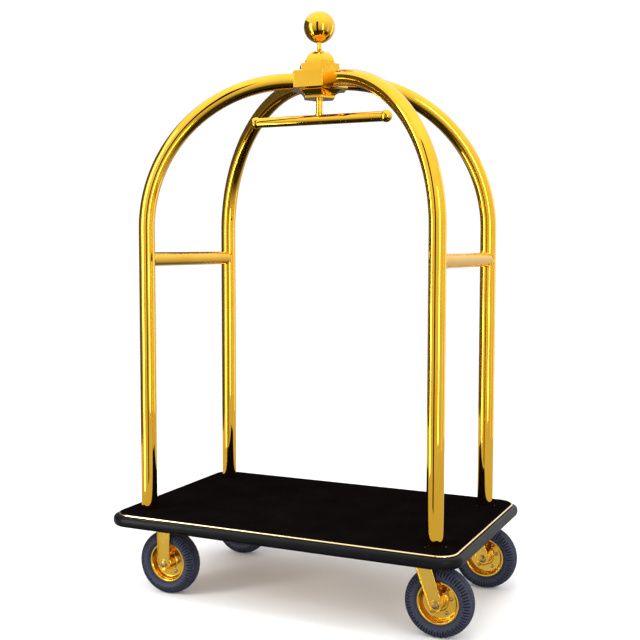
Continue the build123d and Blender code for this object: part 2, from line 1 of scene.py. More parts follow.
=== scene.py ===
"""The looks of a hotel luggage cart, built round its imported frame: polished gold tubes and crown,
a carpeted deck with a rubber bumper, and four pneumatic wheels in gold-plated casters."""

import json
import logging
import math
from collections.abc import Sequence
from dataclasses import dataclass
from enum import Enum

import bmesh
import bpy
import numpy as np
from mathutils import Matrix, Vector


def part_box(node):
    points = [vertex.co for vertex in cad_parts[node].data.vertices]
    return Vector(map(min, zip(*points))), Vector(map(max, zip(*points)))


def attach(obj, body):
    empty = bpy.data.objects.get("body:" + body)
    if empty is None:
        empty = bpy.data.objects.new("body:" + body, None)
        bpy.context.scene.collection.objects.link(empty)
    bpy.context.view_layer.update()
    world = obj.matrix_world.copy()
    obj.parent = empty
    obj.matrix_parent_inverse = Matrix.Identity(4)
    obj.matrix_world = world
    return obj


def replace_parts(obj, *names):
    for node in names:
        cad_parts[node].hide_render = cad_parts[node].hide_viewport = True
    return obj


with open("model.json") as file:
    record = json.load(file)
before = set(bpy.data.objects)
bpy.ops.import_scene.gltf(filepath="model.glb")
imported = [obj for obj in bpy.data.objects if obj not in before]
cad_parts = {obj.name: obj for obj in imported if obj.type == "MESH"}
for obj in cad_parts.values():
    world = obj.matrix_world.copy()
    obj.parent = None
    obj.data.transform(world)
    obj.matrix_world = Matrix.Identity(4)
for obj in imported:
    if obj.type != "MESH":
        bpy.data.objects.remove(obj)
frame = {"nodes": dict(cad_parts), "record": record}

Array = np.ndarray
Colour = tuple[float, float, float]
Socket = bpy.types.NodeSocket
log = logging.getLogger("luggage_cart")

MM = 0.001
GUARD = 0.3 * MM  # how far a flat face stays exactly flat before an edge's rounding
SHARP_ANGLE = math.radians(40)
UP = np.array([0, 0, 1.0])
CORNERS = ("front_left", "front_right", "back_left", "back_right")
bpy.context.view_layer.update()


# ------------------------------------------------------------------ surfaces
class Turn(Enum):
    """The axis of a turned piece: where its cosine, sine and height go among x, y and z."""

    X = (1, 2, 0)
    Y = (0, 2, 1)
    Z = (0, 1, 2)


@dataclass(frozen=True)
class Grid:
    """A patch of surface: points in rows and columns, and which of its sides join up."""

    points: Array
    join_rows: bool = False
    join_columns: bool = True
    relief: Array | None = None

    def faces(self) -> Array:
        """The four corners of each face, as numbers of this grid's points."""
        rows, columns = self.points.shape[:2]
        i = np.arange(rows if self.join_rows else rows - 1)[:, None]
        j = np.arange(columns if self.join_columns else columns - 1)[None, :]
        k, m = (i + 1) % rows, (j + 1) % columns
        corners = np.broadcast_arrays(i * columns + j, i * columns + m, k * columns + m, k * columns + j)
        return np.stack(corners, -1).reshape(-1, 4)

    def uv(self) -> Array:
        """Each face corner's place in metres: along a row in u and along a column in v."""
        rows, columns = self.points.shape[:2]
        run = np.linalg.norm(np.diff(self.points, axis=1), axis=2).sum(1).max()
        rise = np.linalg.norm(np.diff(self.points, axis=0), axis=2).sum(0).max()
        i = np.arange(rows if self.join_rows else rows - 1)[:, None]
        j = np.arange(columns if self.join_columns else columns - 1)[None, :]
        du, dv = run / max(columns - 1, 1), rise / max(rows - 1, 1)
        u = np.stack(np.broadcast_arrays(j * du, (j + 1) * du, (j + 1) * du, j * du), -1)
        v = np.stack(np.broadcast_arrays(i * dv, i * dv, (i + 1) * dv, (i + 1) * dv), -1)
        u, v = np.broadcast_arrays(u, v)
        return np.stack([u, v], -1).reshape(-1, 2)


def make_piece(name: str, grids: Sequence[Grid], body: str, finish: "Finish") -> bpy.types.Object:
    """Make one piece from its grids, close its seams, turn its faces outwards and dress it.

    Args:
        name: the piece's name.
        grids: the patches that the piece is made of.
        body: the CAD body that it rides on.
        finish: what it is made of.

    Returns:
        The piece, at the origin, with its place in its mesh.
    """
    sizes = [g.points.shape[0] * g.points.shape[1] for g in grids]
    starts = np.concatenate([[0], np.cumsum(sizes)[:-1]])
    points = np.concatenate([g.points.reshape(-1, 3) for g in grids]).astype(np.float32)
    faces = np.concatenate([g.faces() + s for g, s in zip(grids, starts)]).astype(np.int32)
    mesh = bpy.data.meshes.new(name)
    mesh.vertices.add(len(points))
    mesh.vertices.foreach_set("co", points.ravel())
    mesh.loops.add(faces.size)
    mesh.loops.foreach_set("vertex_index", faces.ravel())
    mesh.polygons.add(len(faces))
    mesh.polygons.foreach_set("loop_start", np.arange(0, faces.size, 4, dtype=np.int32))
    mesh.update(calc_edges=True)
    uv = np.concatenate([g.uv() for g in grids]).astype(np.float32)
    mesh.uv_layers.new(name="UVMap").data.foreach_set("uv", uv.ravel())
    # The relief attribute carries each point's cut depth, which a rubber finish turns into painted shade.
    if any(g.relief is not None for g in grids):
        depth = [np.zeros(n) if g.relief is None else g.relief.ravel() for g, n in zip(grids, sizes)]
        layer = mesh.attributes.new("relief", "FLOAT", "POINT")
        layer.data.foreach_set("value", np.concatenate(depth).astype(np.float32))
    work = bmesh.new()
    work.from_mesh(mesh)
    bmesh.ops.remove_doubles(work, verts=work.verts, dist=1e-6)
    bmesh.ops.recalc_face_normals(work, faces=work.faces)
    work.to_mesh(mesh)
    work.free()
    mesh.shade_smooth()
    mesh.set_sharp_from_angle(angle=SHARP_ANGLE)
    mesh.materials.append(finish.material())
    piece = bpy.data.objects.new(name, mesh)
    bpy.context.scene.collection.objects.link(piece)
    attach(piece, body)
    log.info("%s: %d faces on %s", name, len(mesh.polygons), body)
    return piece


def rounded(corners: Sequence[tuple[float, float, float]], closed: bool = False, steps: int = 4) -> Array:
    """An outline with its corners rounded off.

    At each corner an arc of its radius touches both edges: its centre lies on the line that
    halves the corner, and its points turn evenly from one edge to the other. A point a little
    way along each edge keeps the face beside the arc flat.

    Args:
        corners: (x, y, radius) of each corner, in millimetres. Radius 0 keeps it sharp.
        closed: whether the last corner joins the first.
        steps: the number of spans in each arc.

    Returns:
        The outline's points, in metres.
    """
    spots = np.array([c[:2] for c in corners], float) * MM
    made = []
    for k, (_, _, radius) in enumerate(corners):
        here = spots[k]
        if radius == 0 or (not closed and k in (0, len(corners) - 1)):
            made.append(here[None, :])
            continue
        a, b = spots[k - 1] - here, spots[(k + 1) % len(spots)] - here
        a, b = a / np.linalg.norm(a), b / np.linalg.norm(b)
        half = math.acos(np.clip(a @ b, -1, 1)) / 2
        reach = radius * MM / math.tan(half)
        centre = here + (a + b) / np.linalg.norm(a + b) * radius * MM / math.sin(half)
        first, last = here + a * reach - centre, here + b * reach - centre
        turn = math.acos(np.clip(first @ last / (radius * MM) ** 2, -1, 1))
        t = np.linspace(0, 1, steps + 1)[:, None]
        arc = (np.sin((1 - t) * turn) * first + np.sin(t * turn) * last) / math.sin(turn)
        made += [(here + a * (reach + GUARD))[None, :], centre + arc, (here + b * (reach + GUARD))[None, :]]
    return np.concatenate(made)


def hull(circles: Sequence[tuple[float, float, float]], steps: int = 8) -> tuple[Array, Array]:
    """The outline stretched round some circles, such as a plate's rounded corners.

    Between two neighbouring circles the outline is the straight line that touches both, so its
    normal's angle is the centres' direction less the arc cosine of the radii's difference over
    their distance. Round each circle it is an arc between its two such angles.

    Args:
        circles: (x, y, radius) in metres, anticlockwise.
        steps: the number of spans in each arc.

    Returns:
        The outline's points, and the outward normal at each.
    """
    spots = np.array(circles, float)
    ahead = np.roll(spots, -1, axis=0)
    way = ahead[:, :2] - spots[:, :2]
    apart = np.linalg.norm(way, axis=1)
    leave = np.arctan2(way[:, 1], way[:, 0]) - np.arccos((spots[:, 2] - ahead[:, 2]) / apart)
    arrive = np.roll(leave, 1)
    turn = np.mod(leave - arrive, 2 * math.pi)
    t = np.linspace(0, 1, steps + 1)
    angle = (arrive[:, None] + turn[:, None] * t)[..., None]
    normal = np.concatenate([np.cos(angle), np.sin(angle)], -1)
    arc = spots[:, None, :2] + spots[:, None, 2:] * normal
    along = np.stack([-normal[..., 1], normal[..., 0]], -1)
    arc = np.concatenate([arc[:, :1] - GUARD * along[:, :1], arc, arc[:, -1:] + GUARD * along[:, -1:]], 1)
    normal = np.concatenate([normal[:, :1], normal, normal[:, -1:]], 1)
    return arc.reshape(-1, 2), normal.reshape(-1, 2)


def turned(profile: Array, centre: Sequence[float], axis: Turn, count: int = 64) -> Grid:
    """A profile of (radius, height) points turned about an axis through centre.

    Each point goes to the centre plus radius times (cosine, sine) of the angle across the axis
    and height along it.
    """
    angle = np.linspace(0, 2 * math.pi, count, endpoint=False)
    made = np.empty((len(profile), count, 3))
    c, s, h = axis.value
    made[..., c] = profile[:, :1] * np.cos(angle)
    made[..., s] = profile[:, :1] * np.sin(angle)
    made[..., h] = profile[:, 1:2]
    return Grid(made + np.array(centre), join_rows=True)


def carried(profile: Array, path: Array, normal: Array, up: Array) -> Grid:
    """A closed profile carried round a closed path.

    Each point is the path's point plus the profile's first number along the path's normal and
    its second number along up.
    """
    out = path[None] + profile[:, None, :1] * normal[None] + profile[:, None, 1:] * up
    return Grid(out, join_rows=True)


def plate(profile: Array, path: Array, normal: Array, spine: Array, up: Array) -> Grid:
    """A closed plate: an edge profile carried round its outline, and faces that run in to its spine.

    The first and last rows are the spine, lifted to the height of the profile's two ends.
    """
    body = carried(profile, path, normal, up).points
    first = np.broadcast_to(spine + profile[0, 1] * up, path.shape)
    last = np.broadcast_to(spine + profile[-1, 1] * up, path.shape)
    return Grid(np.concatenate([first[None], body, last[None]]), join_rows=False)


def lift(flat: Array, axes: tuple[int, int]) -> Array:
    """Points or directions in a plane, put into space on the two named axes."""
    made = np.zeros(flat.shape[:-1] + (3,))
    made[..., axes[0]], made[..., axes[1]] = flat[..., 0], flat[..., 1]
    return made


def hexagon(centre: Sequence[float], axis: Turn, across: float, foot: float, top: float) -> Grid:
    """A hexagon bolt head or nut with chamfered corners.

    Its radius at an angle is the hexagon's, half its width over the cosine of the angle from
    the nearest flat, but at the outer end no more than a cone's, which takes the corners off.
    """
    count, half, sixth = 36, across / 2, math.pi / 3
    height, side = abs(top - foot), math.copysign(1, top - foot)
    angle = np.linspace(0, 2 * math.pi, count, endpoint=False)
    fold = np.mod(angle + sixth / 2, sixth) - sixth / 2
    edge = half / np.cos(fold)
    cone = np.array([np.inf, half * 1.15, half * 1.06, half * 0.95])
    rise = np.array([0.0, 0.80, 0.93, 1.0]) * height
    radius = np.minimum(edge[None], cone[:, None])
    ends = np.zeros((1, count))
    radius = np.concatenate([ends, radius, ends])
    rise = np.concatenate([[0.0], rise, [height]]) * side + foot
    made = np.empty((len(rise), count, 3))
    c, s, h = axis.value
    made[..., c], made[..., s] = radius * np.cos(angle), radius * np.sin(angle)
    made[..., h] = rise[:, None]
    return Grid(made + np.array(centre), join_rows=True)


def middle(node: str) -> Vector:
    """The middle of a CAD node's box."""
    low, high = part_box(node)
    return (low + high) / 2


# ------------------------------------------------------------------ finishes
class Tree:
    """A tree of shader nodes, built a node at a time."""

    def __init__(self, tree: bpy.types.NodeTree) -> None:
        """Take over a node tree."""
        self.tree = tree

    def node(self, kind: str, **settings: object) -> bpy.types.Node:
        """Add a node. A setting named in_X sets input X, with _ for a space; others are properties."""
        made = self.tree.nodes.new(kind)
        for key, value in settings.items():
            if not key.startswith("in_"):
                setattr(made, key, value)
                continue
            name = key[3:].replace("_", " ")
            socket = made.inputs[int(name) if name.isdigit() else name]
            if isinstance(value, Socket):
                self.tree.links.new(value, socket)
            else:
                socket.default_value = value
        return made

    def maths(self, operation: str, *values: Socket | float) -> Socket:
        """A sum, product or the like of some values."""
        settings = {f"in_{k}": value for k, value in enumerate(values)}
        return self.node("ShaderNodeMath", operation=operation, **settings).outputs[0]

    def spread(
        self, value: Socket, low: float, high: Socket | float, start: float = 0.3, stop: float = 0.7
    ) -> Socket:
        """A value that runs from start to stop, moved to run from low to high."""
        ends = {"in_From_Min": start, "in_From_Max": stop, "in_To_Min": low, "in_To_Max": high}
        return self.node("ShaderNodeMapRange", in_Value=value, **ends).outputs["Result"]


class Graph(Tree):
    """A material's node graph, with its principled shader."""

    def __init__(self, name: str) -> None:
        """Start an empty material with a principled shader."""
        self.material = bpy.data.materials.new(name)
        self.material.use_nodes = True
        super().__init__(self.material.node_tree)
        self.tree.nodes.clear()
        self.shader = self.node("ShaderNodeBsdfPrincipled")
        out = self.node("ShaderNodeOutputMaterial")
        self.tree.links.new(self.shader.outputs["BSDF"], out.inputs["Surface"])

    def place(self, stretch: Sequence[float] = (1, 1, 1)) -> Socket:
        """The point being shaded, in metres, stretched along each axis."""
        where = self.node("ShaderNodeTexCoord").outputs["Object"]
        return self.node("ShaderNodeMapping", in_Vector=where, in_Scale=stretch).outputs["Vector"]

    def noise(self, where: Socket, scale: float, detail: float = 2, rough: float = 0.5) -> Socket:
        """Soft noise from 0 to 1."""
        settings = {"in_Scale": scale, "in_Detail": detail, "in_Roughness": rough}
        return self.node("ShaderNodeTexNoise", in_Vector=where, **settings).outputs["Fac"]

    def mixed(self, share: Socket, first: Socket | Colour, second: Colour) -> Socket:
        """A colour between two, by a share from 0 to 1."""
        ends = {"in_6": first if isinstance(first, Socket) else (*first, 1), "in_7": (*second, 1)}
        return self.node("ShaderNodeMix", data_type="RGBA", clamp_factor=True, in_0=share, **ends).outputs[2]

    def bump(self, height: Socket, depth: float, strength: float = 1.0) -> None:
        """Raise the surface by a height of up to depth metres."""
        made = self.node("ShaderNodeBump", in_Height=height, in_Distance=depth, in_Strength=strength)
        self.tree.links.new(made.outputs["Normal"], self.shader.inputs["Normal"])

    def feed(self, socket: str, value: Socket | float | Sequence[float]) -> None:
        """Link or set one input of the shader."""
        if isinstance(value, Socket):
            self.tree.links.new(value, self.shader.inputs[socket])
        else:
            self.shader.inputs[socket].default_value = value


@dataclass(frozen=True)
class Finish:
    """What a piece is made of, and the record's slot that it stands for."""

    slot: str

    def material(self) -> bpy.types.Material:
        """The finish's material, made the first time it is asked for."""
        name = f"{self.slot}_{type(self).__name__}"
        return bpy.data.materials.get(name) or self.paint(Graph(name))

    def paint(self, graph: Graph) -> bpy.types.Material:
        """Fill in the node graph."""
        raise NotImplementedError


@dataclass(frozen=True)
class Plating(Finish):
    """Metal plating: a tint that varies a little, and gloss broken by fine wiping marks."""

    tint: Colour
    deep: Colour
    rough: tuple[float, float]
    ripple: float
    grain: tuple[float, float, float] = (60.0, 60.0, 60.0)

    def paint(self, graph: Graph) -> bpy.types.Material:
        """Blotches tint the metal; stretched grain sets its gloss; both ripple it slightly."""
        blotch = graph.noise(graph.place(), 9.0, 3, 0.6)
        grain = graph.noise(graph.place(self.grain), 1.0, 3, 0.6)
        graph.feed("Base Color", graph.mixed(graph.spread(blotch, 0, 1), self.tint, self.deep))
        graph.feed("Metallic", 1.0)
        graph.feed("Roughness", graph.spread(grain, *self.rough))
        graph.bump(grain, self.ripple)
        return graph.material


@dataclass(frozen=True)
class Pile(Finish):
    """Short carpet pile: fine tufts painted darker towards their roots as shade, and broad marks where it has
    been trodden.
    """

    tip: Colour
    root: Colour

    def paint(self, graph: Graph) -> bpy.types.Material:
        """Small cells are the tufts, a fine noise their fibres, and a broad noise the tread marks; the tufts'
        height also paints shade into their roots.
        """
        where = graph.place()
        tufts = graph.node("ShaderNodeTexVoronoi", in_Vector=where, in_Scale=420.0).outputs["Distance"]
        fibre = graph.noise(where, 1500.0, 2)
        trodden = graph.noise(where, 7.0, 4, 0.65)
        high = graph.maths("SUBTRACT", fibre, tufts)
        shade = graph.maths("MULTIPLY_ADD", trodden, 0.8, high)
        # Painted shade: lower points of the tufts take the darker root colour; the broad noise adds real
        # tread marks.
        graph.feed("Base Color", graph.mixed(graph.spread(shade, 0, 1, 0.2, 1.0), self.root, self.tip))
        graph.feed("Roughness", 1.0)
        graph.feed("Specular IOR Level", 0.0)
        graph.bump(high, 1.2 * MM, 0.8)
        return graph.material


@dataclass(frozen=True)
class Rubber(Finish):
    """Moulded rubber: fine bloom on the skin, painted shade in its recesses, and scuffs."""

    fresh: Colour
    bloomed: Colour
    rough: tuple[float, float]
    # the colour of the painted shade in recesses, laid on by the relief attribute
    painted_recess_shade: Colour
    gleam: float

    def paint(self, graph: Graph) -> bpy.types.Material:
        """Broad noise fades the rubber, the relief attribute paints shade into its recesses, fine noise pits
        it.
        """
        where = graph.place()
        bloom = graph.noise(where, 14.0, 4, 0.65)
        skin = graph.noise(where, 900.0, 2)
        relief = graph.node("ShaderNodeAttribute", attribute_name="relief").outputs["Fac"]
        base = graph.mixed(graph.spread(bloom, 0, 1), self.fresh, self.bloomed)
        # Painted shade: the deeper a point is cut, the nearer its colour comes to the dark recess colour.
        graph.feed("Base Color", graph.mixed(relief, base, self.painted_recess_shade))
        graph.feed("Specular IOR Level", self.gleam)
        graph.feed("Roughness", graph.spread(bloom, *self.rough))
        graph.bump(skin, 0.15 * MM, 0.6)
        return graph.material


@dataclass(frozen=True)
class Plywood(Finish):
    """Plain plywood: long grain on its faces and thin plies in its edge."""

    pale: Colour
    dark: Colour
    ply: float

    def paint(self, graph: Graph) -> bpy.types.Material:
        """Noise stretched along the board is the grain, and a wave up its thickness the plies."""
        grain = graph.noise(graph.place((3.0, 45.0, 45.0)), 1.0, 5, 0.6)
        wave = {"bands_direction": "Z", "in_Vector": graph.place(), "in_Scale": 1 / self.ply / 20}
        plies = graph.node("ShaderNodeTexWave", **wave).outputs["Fac"]
        mix = graph.maths("MULTIPLY_ADD", plies, 0.15, grain)
        graph.feed("Base Color", graph.mixed(graph.spread(mix, 0, 1, 0.35, 0.8), self.pale, self.dark))
        graph.feed("Roughness", 0.6)
        graph.bump(grain, 0.2 * MM, 0.5)
        return graph.material


@dataclass(frozen=True)
class Powder(Finish):
    """Powder coat: one colour under an orange-peel skin."""

    tint: Colour
    worn: Colour

    def paint(self, graph: Graph) -> bpy.types.Material:
        """Fine noise is the orange peel, and broad noise a dusty film."""
        film = graph.noise(graph.place(), 12.0, 4, 0.6)
        peel = graph.noise(graph.place(), 500.0, 1)
        graph.feed("Base Color", graph.mixed(graph.spread(film, 0, 1), self.tint, self.worn))
        graph.feed("Roughness", graph.spread(film, 0.35, 0.55))
        graph.bump(peel, 0.1 * MM, 0.5)
        return graph.material


GOLD = Plating(
    "polished_gold", tint=(0.94, 0.545, 0.050), deep=(0.89, 0.47, 0.034), rough=(0.03, 0.06),
    ripple=0.002 * MM, grain=(700, 700, 12),
)
PRESSED_GOLD = Plating(
    "caster_gold", tint=(0.96, 0.62, 0.10), deep=(0.88, 0.50, 0.05), rough=(0.12, 0.24), ripple=0.02 * MM
)
TRIM = Plating(
    "trim_brass", tint=(1.0, 0.83, 0.50), deep=(0.98, 0.74, 0.38), rough=(0.10, 0.18), ripple=0.005 * MM
)
ZINC = Plating(
    "zinc_steel", tint=(0.72, 0.52, 0.22), deep=(0.46, 0.30, 0.10), rough=(0.16, 0.30), ripple=0.01 * MM
)
# The carpet's root colour is painted shade between its tufts, and also the colour of its trodden marks.
CARPET = Pile("carpet", tip=(0.0085, 0.0060, 0.0060), root=(0.0022, 0.0015, 0.0016))
BUMPER = Rubber(
    "bumper_rubber", fresh=(0.003, 0.003, 0.0034), bloomed=(0.005, 0.005, 0.006), rough=(0.28, 0.38),
    painted_recess_shade=(0.002, 0.002, 0.002), gleam=0.1,
)
# The tyre's recess colour is painted shade, laid into the tread's grooves and slots by their depth.
TYRE = Rubber(
    "tyre_rubber", fresh=(0.018, 0.021, 0.040), bloomed=(0.027, 0.031, 0.056), rough=(0.5, 0.68),
    painted_recess_shade=(0.004, 0.005, 0.008), gleam=0.3,
)
BOARD = Plywood("plywood", pale=(0.60, 0.44, 0.27), dark=(0.40, 0.26, 0.14), ply=1.5 * MM)
FRAME_PAINT = Powder("frame_steel", tint=(0.012, 0.012, 0.013), worn=(0.03, 0.03, 0.03))
FINISHES = {f.slot: f for f in (GOLD, PRESSED_GOLD, TRIM, ZINC, CARPET, BUMPER, TYRE, BOARD, FRAME_PAINT)}


# ------------------------------------------------------------------ tubes and crown
@dataclass(frozen=True)
class Birdcage:
    """The four bent tubes and the two crossbars that brace them in pairs."""

    wall: float = 1.8 * MM
    bend_r: float = 470 * MM
    end_reach: float = 57 * MM
    bar_wall: float = 1.5 * MM
    weld_r: float = 1.6 * MM
    around: int = 72

    def post(self, corner: str) -> None:
        """One tube: up from the board, round a quarter circle and level into the crown.

        The middle line runs at reach R from the cart's middle up to where the bend starts,
        then at reach R - r(1 - cos a) and height h + r sin a, and then level. The wall is a
        ring round that line, carried out along its outside and back along its inside.
        """
        low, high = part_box(f"post_{corner}")
        centre = middle("crown_hub")
        radius = self.tube_radius()
        foot_x = high.x - radius if "right" in corner else low.x + radius
        foot_y = high.y - radius if "back" in corner else low.y + radius
        outward = np.array([foot_x - centre.x, foot_y - centre.y, 0.0])
        reach = np.linalg.norm(outward)
        outward /= reach
        crown_z = high.z - radius
        bend_z = crown_z - self.bend_r
        turn = np.linspace(0, math.pi / 2, 61)
        upright = np.linspace(low.z, bend_z, 8)[:-1]
        level = np.linspace(reach - self.bend_r, self.end_reach, 4)[1:]
        line_r = np.concatenate([np.full(7, reach), reach - self.bend_r * (1 - np.cos(turn)), level])
        line_z = np.concatenate([upright, bend_z + self.bend_r * np.sin(turn), np.full(3, crown_z)])
        tilt = np.concatenate([np.zeros(7), turn, np.full(3, math.pi / 2)])
        line = np.array([centre.x, centre.y, 0]) + line_r[:, None] * outward + line_z[:, None] * UP
        face = np.cos(tilt)[:, None] * outward + np.sin(tilt)[:, None] * UP
        across = np.cross(UP, outward)
        angle = np.linspace(0, 2 * math.pi, self.around, endpoint=False)
        ring = face[:, None] * np.cos(angle)[None, :, None] + across * np.sin(angle)[None, :, None]
        outside = line[:, None] + radius * ring
        inside = line[:, None] + (radius - self.wall) * ring
        wall = Grid(np.concatenate([outside, inside[::-1]]), join_rows=True)
        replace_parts(make_piece(f"tube_{corner}", [wall], "cart", GOLD), f"post_{corner}")

    def tube_radius(self) -> float:
        """The tubes' radius, from how far the level end stands above the crown's middle line."""
        low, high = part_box("crossbar_left")
        post_low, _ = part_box("post_front_left")
        return (low.x + high.x) / 2 - post_low.x

    def crossbar(self, side: str) -> None:
        """One crossbar, coped round both posts, with a thin weld bead at each end.

        At angle a round the bar its end stands short of the post's middle line by the square
        root of R squared less (r cos a) squared. The bead is a ring carried round that edge.
        """
        node = f"crossbar_{side}"
        low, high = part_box(node)
        centre, radius, tube = middle(node), (high.x - low.x) / 2, self.tube_radius()
        post_y = abs(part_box("post_front_left")[0].y) - tube
        angle = np.linspace(0, 2 * math.pi, self.around, endpoint=False)
        rows = []
        for r, ends in ((radius, (-1, 1)), (radius - self.bar_wall, (1, -1))):
            cope = post_y - np.sqrt(tube**2 - (r * np.cos(angle)) ** 2)
            for share in np.linspace(ends[0], ends[1], 5):
                rows.append(np.stack([r * np.cos(angle), share * cope, r * np.sin(angle)], -1))
        grids = [Grid(np.array(rows) + np.array(centre), join_rows=True)]
        cope = post_y - np.sqrt((tube + 0.2 * MM) ** 2 - (radius * np.cos(angle)) ** 2)
        bead = np.linspace(0, 2 * math.pi, 10, endpoint=False)[:, None]
        for end in (-1, 1):
            size = radius + self.weld_r * np.cos(bead)
            ring = [size * np.cos(angle), end * (cope + self.weld_r * np.sin(bead)), size * np.sin(angle)]
            grids.append(Grid(np.stack(np.broadcast_arrays(*ring), -1) + np.array(centre), join_rows=True))
        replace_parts(make_piece(f"coped_bar_{side}", grids, "cart", GOLD), node)

    def build(self) -> None:
        """Build the tubes and the crossbars."""
        for corner in CORNERS:
            self.post(corner)
        for side in ("left", "right"):
            self.crossbar(side)


@dataclass(frozen=True)
class Crown:
    """The six-sided crown: a hub with a hollow foot, a stepped cap and the ball finial."""

    edge_r: float = 1.6 * MM
    edge_steps: int = 6
    flat: float = math.cos(math.pi / 6)
    foot_across: float = 53.7
    cove_h: float = 29.0
    block_h: float = 52.0
    shoulder: float = 3.0
    step_h: float = 24.0
    dome_across: float = 53.0
    top_across: float = 17.0
    neck_r: float = 6.6 * MM
    collar_r: float = 16.9
    collar_h: float = 2.6

    def six_sided(self, profile: Array, node: str) -> Grid:
        """A moulding with six rounded upright edges.

        At height z the six corner circles stand at (w - e) over the cosine of 30 degrees from
        the axis, where w is the profile's width there and e the edge radius, and each turns
        through 60 degrees.
        """
        centre = middle(node)
        corner = np.arange(6) * math.pi / 3
        turn = np.linspace(-math.pi / 6, math.pi / 6, self.edge_steps + 1)
        angle = (corner[:, None] + turn[None]).ravel()
        spoke = np.repeat(np.stack([np.cos(corner), np.sin(corner)], -1), len(turn), 0)
        normal = np.stack([np.cos(angle), np.sin(angle)], -1)
        tangent = np.stack([-normal[:, 1], normal[:, 0]], -1)
        end = np.tile([-1] + [0] * (self.edge_steps - 1) + [1], 6)
        edge = np.minimum(self.edge_r, profile[:, 0])
        reach = (profile[:, 0] - edge) / self.flat
        flat = reach[:, None, None] * spoke + edge[:, None, None] * normal
        guard = np.minimum(GUARD, profile[:, 0] / 4)[:, None, None] * tangent * end[:, None]
        keep = np.repeat(flat, 2, axis=1)
        keep[:, 0::2][:, end == -1] += guard[:, end == -1]
        keep[:, 1::2][:, end == 1] += guard[:, end == 1]
        whole = np.concatenate([keep, np.broadcast_to(profile[:, None, 1:], keep.shape[:2] + (1,))], -1)
        return Grid(whole + np.array([centre.x, centre.y, 0]), join_rows=True)

    def hub(self) -> None:
        """The hub: a plain block over a foot that a quarter-ellipse cove draws in."""
        low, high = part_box("crown_hub")
        foot_z, top_z = low.z / MM, high.z / MM
        wide, narrow = (high.x - low.x) / 2 / MM * self.flat, self.foot_across * self.flat
        block_z = foot_z + self.cove_h
        shoulder_z = block_z + self.block_h
        bend = np.linspace(0, math.pi / 2, 15)[1:-1]
        cove = np.stack([wide - (wide - narrow) * np.cos(bend), foot_z + self.cove_h * np.sin(bend)], -1)
        profile = np.concatenate([
            rounded([(0, foot_z, 0), (narrow, foot_z, 1.0), (*cove[0], 0)])[:-1],
            cove * MM,
            rounded([
                (*cove[-1], 0), (wide, block_z, 0.8), (wide, shoulder_z, 0.9),
                (wide - 2 * self.shoulder, top_z, 1.0), (0, top_z, 0),
            ])[1:],
        ])
        casting = self.six_sided(profile, "crown_hub")
        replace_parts(make_piece("hub_casting", [casting], "cart", GOLD), "crown_hub")

    def cap(self) -> None:
        """The cap: a step, and a quarter-ellipse dome with a small flat top."""
        low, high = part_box("crown_cap")
        foot_z, top_z = low.z / MM, high.z / MM
        step_w = (high.x - low.x) / 2 / MM * self.flat
        dome_w, top_w = self.dome_across * self.flat, self.top_across * self.flat
        step_z = foot_z + self.step_h
        bend = np.linspace(0, math.pi / 2, 21)[1:-1]
        dome_z = step_z + (top_z - step_z) * np.sin(bend)
        dome = np.stack([top_w + (dome_w - top_w) * np.cos(bend), dome_z], -1)
        profile = np.concatenate([
            rounded([
                (0, foot_z, 0), (step_w, foot_z, 0.8), (step_w - 1.3, step_z, 1.0), (dome_w, step_z, 0.8),
                (*dome[0], 0),
            ])[:-1],
            dome * MM,
            rounded([(*dome[-1], 0), (top_w, top_z, 0), (0, top_z, 0)])[1:],
        ])
        moulding = self.six_sided(profile, "crown_cap")
        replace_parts(make_piece("stepped_cap", [moulding], "cart", GOLD), "crown_cap")

    def finial(self) -> None:
        """The finial: a collar, a neck that narrows as (1 - t) to the power 2.2, and the ball."""
        low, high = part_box("finial")
        centre, radius, neck = middle("finial"), (high.x - low.x) / 2, self.neck_r
        start = math.asin(neck / radius)
        swing = np.linspace(-math.pi / 2 + start, math.pi / 2, 60)
        ball = np.stack([radius * np.cos(swing), high.z - radius + radius * np.sin(swing)], -1)
        ball[-1, 0] = 0
        ease = np.linspace(0, 1, 16)
        lip_r, foot_z = self.collar_r - 2, low.z / MM
        lip_z, neck_z = low.z + self.collar_h * MM, low.z + 11 * MM
        flare_r = neck + (lip_r * MM - neck) * (1 - ease) ** 2.2
        flare = np.stack([flare_r, lip_z + (neck_z - lip_z) * ease], -1)
        collar = rounded([
            (0, foot_z, 0), (self.collar_r, foot_z, 0.4), (self.collar_r, foot_z + self.collar_h, 1.0),
            (lip_r, foot_z + self.collar_h, 0),
        ])
        profile = np.concatenate([collar[:-1], flare, ball])
        shape = turned(profile, (centre.x, centre.y, 0), Turn.Z, 96)
        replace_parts(make_piece("ball_finial", [shape], "cart", GOLD), "finial")

    def build(self) -> None:
        """Build the hub, the cap and the finial."""
        self.hub()
        self.cap()
        self.finial()


